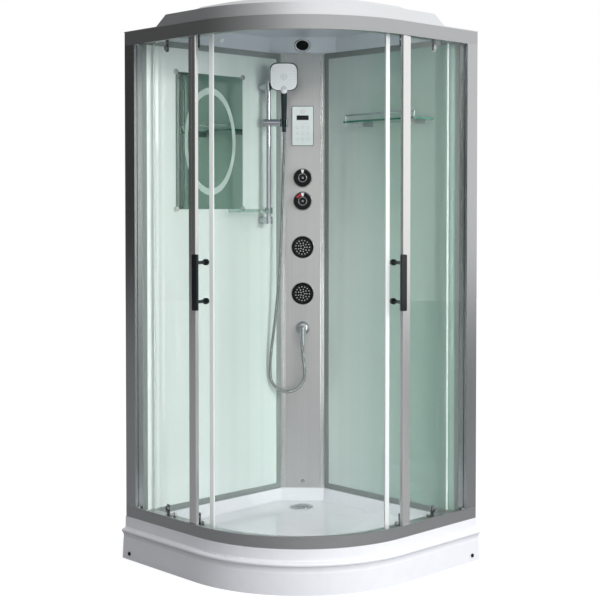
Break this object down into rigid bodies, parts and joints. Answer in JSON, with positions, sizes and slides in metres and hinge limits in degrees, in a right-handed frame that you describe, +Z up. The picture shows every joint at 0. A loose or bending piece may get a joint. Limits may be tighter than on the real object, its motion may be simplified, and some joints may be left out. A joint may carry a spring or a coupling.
{
  "type": "shower cabin",
  "caption": "Quadrant shower cabin: white tray, curved sliding glass doors, glass back walls, corner panel with mixer, jets and hand shower, and a domed roof.",
  "frame": {"origin": "on the floor under the middle of the square that the tray fits in", "axes": "+Z up; the room's corner lies at -X +Y and the curved front faces +X -Y"},
  "size_m": [1, 1, 2.15],
  "materials": {
    "white_acrylic": "glossy",
    "galvanised_steel": "galvanised",
    "dark_screw": "satin",
    "waste_plastic": "matte",
    "chrome": "polished",
    "rail_aluminium": "satin polished",
    "clear_glass": "clear tempered",
    "pale_green_glass": "backed safety glass",
    "shelf_glass": "clear with green edge",
    "silver_acrylic": "silver gloss",
    "ceiling_grey": "satin",
    "dark_plastic": "satin",
    "lamp_white": "satin",
    "mirror": "silvered",
    "clear_plastic": "clear plastic",
    "seal_plastic": "translucent strip",
    "black_metal": "gloss black",
    "black_gloss": "gloss black with bright rim",
    "brass": "cast",
    "satin_ring": "satin silver",
    "handset_white": "white and bright rim",
    "button_grey": "satin",
    "wheel_nylon": "nylon"
  },
  "bodies": {
    "cabin": {"tray": "white_acrylic", "tray_frame": "galvanised_steel", "tray_feet": "galvanised_steel", "apron_screws": "dark_screw", "drain_body": "waste_plastic", "bottom_rail": "rail_aluminium", "top_rail": "rail_aluminium", "jamb_left": "rail_aluminium", "jamb_right": "rail_aluminium", "post_left": "rail_aluminium", "post_right": "rail_aluminium", "fixed_glass_left": "clear_glass", "fixed_glass_right": "clear_glass", "wall_glass_left": "pale_green_glass", "wall_glass_right": "pale_green_glass", "wall_frames": "rail_aluminium", "corner_column": "rail_aluminium", "roof_shell": "silver_acrylic", "ceiling_liner": "ceiling_grey", "ceiling_speaker": "dark_plastic", "ceiling_lamp": "lamp_white", "mirror": "mirror", "mirror_clips": "chrome", "glass_shelf": "shelf_glass", "shelf_rack": "chrome", "riser_tube": "chrome", "riser_brackets": "chrome", "soap_dish": "clear_plastic", "shower_hose": "chrome", "control_panel": "lamp_white", "valve_block": "brass", "jet_bodies": "satin_ring", "hose_elbow": "chrome", "supply_pipes": "brass"},
    "door_left": {"door_glass_left": "clear_glass", "door_seals_left": "seal_plastic", "door_hangers_left": "chrome", "door_handle_left": "black_metal"},
    "top_wheel_front_left": {"top_wheel_front_left": "wheel_nylon"},
    "top_wheel_rear_left": {"top_wheel_rear_left": "wheel_nylon"},
    "bottom_wheel_front_left": {"bottom_wheel_front_left": "wheel_nylon"},
    "bottom_wheel_rear_left": {"bottom_wheel_rear_left": "wheel_nylon"},
    "door_right": {"door_glass_right": "clear_glass", "door_seals_right": "seal_plastic", "door_hangers_right": "chrome", "door_handle_right": "black_metal"},
    "top_wheel_front_right": {"top_wheel_front_right": "wheel_nylon"},
    "top_wheel_rear_right": {"top_wheel_rear_right": "wheel_nylon"},
    "bottom_wheel_front_right": {"bottom_wheel_front_right": "wheel_nylon"},
    "bottom_wheel_rear_right": {"bottom_wheel_rear_right": "wheel_nylon"},
    "slider": {"slider": "chrome"},
    "slider_knob": {"slider_knob": "chrome"},
    "holder": {"handset_holder": "chrome"},
    "handset": {"handset": "handset_white"},
    "handset_button": {"handset_button": "button_grey"},
    "mixer": {"mixer_knob": "black_gloss"},
    "diverter": {"diverter_knob": "black_gloss"},
    "jet_lower": {"jet_nozzle_lower": "dark_plastic"},
    "jet_upper": {"jet_nozzle_upper": "dark_plastic"},
    "drain_cover": {"drain_cover": "chrome"}
  },
  "joints": [
    {"name": "left_door_travel", "type": "hinge", "parent": "cabin", "child": "door_left", "pos_m": [-0.1215, 0.36344, 1.1], "axis": [0, 0, 1], "range_deg": [0, 25.7]},
    {"name": "top_wheel_front_left_spin", "type": "hinge", "parent": "door_left", "child": "top_wheel_front_left", "pos_m": [-0.10924, -0.40638, 2.0443], "axis": [-0.1805, 0.9836, 0], "range_deg": [0, 1790]},
    {"name": "top_wheel_rear_left_spin", "type": "hinge", "parent": "door_left", "child": "top_wheel_rear_left", "pos_m": [-0.27676, -0.40638, 2.0443], "axis": [0.1805, 0.9836, 0], "range_deg": [0, 1850]},
    {"name": "bottom_wheel_front_left_spin", "type": "hinge", "parent": "door_left", "child": "bottom_wheel_front_left", "pos_m": [-0.10924, -0.40638, 0.1963], "axis": [-0.1805, 0.9836, 0], "range_deg": [0, 2184]},
    {"name": "bottom_wheel_rear_left_spin", "type": "hinge", "parent": "door_left", "child": "bottom_wheel_rear_left", "pos_m": [-0.27676, -0.40638, 0.1963], "axis": [0.1805, 0.9836, 0], "range_deg": [0, 2258]},
    {"name": "right_door_travel", "type": "hinge", "parent": "cabin", "child": "door_right", "pos_m": [-0.36344, 0.1215, 1.1], "axis": [0, 0, -1], "range_deg": [0, 25.7]},
    {"name": "top_wheel_front_right_spin", "type": "hinge", "parent": "door_right", "child": "top_wheel_front_right", "pos_m": [0.40638, 0.10924, 2.0443], "axis": [0.9836, -0.1805, 0], "range_deg": [0, 1790]},
    {"name": "top_wheel_rear_right_spin", "type": "hinge", "parent": "door_right", "child": "top_wheel_rear_right", "pos_m": [0.40638, 0.27676, 2.0443], "axis": [0.9836, 0.1805, 0], "range_deg": [0, 1850]},
    {"name": "bottom_wheel_front_right_spin", "type": "hinge", "parent": "door_right", "child": "bottom_wheel_front_right", "pos_m": [0.40638, 0.10924, 0.1963], "axis": [0.9836, -0.1805, 0], "range_deg": [0, 2184]},
    {"name": "bottom_wheel_rear_right_spin", "type": "hinge", "parent": "door_right", "child": "bottom_wheel_rear_right", "pos_m": [0.40638, 0.27676, 0.1963], "axis": [0.9836, 0.1805, 0], "range_deg": [0, 2258]},
    {"name": "slider_height", "type": "slide", "parent": "cabin", "child": "slider", "axis": [0, 0, 1], "range_m": [-0.32, 0.11], "deforming": ["shower_hose"]},
    {"name": "slider_knob_turn", "type": "hinge", "parent": "slider", "child": "slider_knob", "pos_m": [-0.39, 0.188, 1.744], "axis": [0.7071, 0.7071, 0], "range_deg": [-90, 90]},
    {"name": "holder_tilt", "type": "hinge", "parent": "slider", "child": "holder", "pos_m": [-0.34333, 0.23467, 1.744], "axis": [0.7071, 0.7071, 0], "range_deg": [0, 25], "deforming": ["shower_hose"]},
    {"name": "handset_lift", "type": "slide", "parent": "holder", "child": "handset", "axis": [0.147, -0.147, 0.9781], "range_m": [0, 0.045], "deforming": ["shower_hose"]},
    {"name": "mode_button_press", "type": "slide", "parent": "handset", "child": "handset_button", "axis": [-0.6917, 0.6917, 0.2079], "range_m": [0, 0.0015], "stiffness_N_per_m": 800},
    {"name": "mixer_turn", "type": "hinge", "parent": "cabin", "child": "mixer", "pos_m": [-0.37626, 0.37626, 1.4125], "axis": [0.7071, -0.7071, 0], "range_deg": [-90, 90]},
    {"name": "diverter_turn", "type": "hinge", "parent": "cabin", "child": "diverter", "pos_m": [-0.37626, 0.37626, 1.513], "axis": [0.7071, -0.7071, 0], "range_deg": [-120, 120]},
    {"name": "lower_jet_tilt", "type": "hinge", "parent": "cabin", "child": "jet_lower", "pos_m": [-0.37626, 0.37626, 1.011], "axis": [0.7071, 0.7071, 0], "range_deg": [-12, 12]},
    {"name": "upper_jet_tilt", "type": "hinge", "parent": "cabin", "child": "jet_upper", "pos_m": [-0.37626, 0.37626, 1.2125], "axis": [0.7071, 0.7071, 0], "range_deg": [-12, 12]},
    {"name": "drain_cover_lift", "type": "slide", "parent": "cabin", "child": "drain_cover", "axis": [0, 0, 1], "range_m": [0, 0.05]}
  ],
  "couplings": [
    {"joint": "top_wheel_front_left_spin", "follows": "left_door_travel", "ratio": 69.035},
    {"joint": "top_wheel_rear_left_spin", "follows": "left_door_travel", "ratio": 71.382},
    {"joint": "bottom_wheel_front_left_spin", "follows": "left_door_travel", "ratio": 84.376},
    {"joint": "bottom_wheel_rear_left_spin", "follows": "left_door_travel", "ratio": 87.244},
    {"joint": "top_wheel_front_right_spin", "follows": "right_door_travel", "ratio": 69.035},
    {"joint": "top_wheel_rear_right_spin", "follows": "right_door_travel", "ratio": 71.382},
    {"joint": "bottom_wheel_front_right_spin", "follows": "right_door_travel", "ratio": 84.376},
    {"joint": "bottom_wheel_rear_right_spin", "follows": "right_door_travel", "ratio": 87.244}
  ]
}
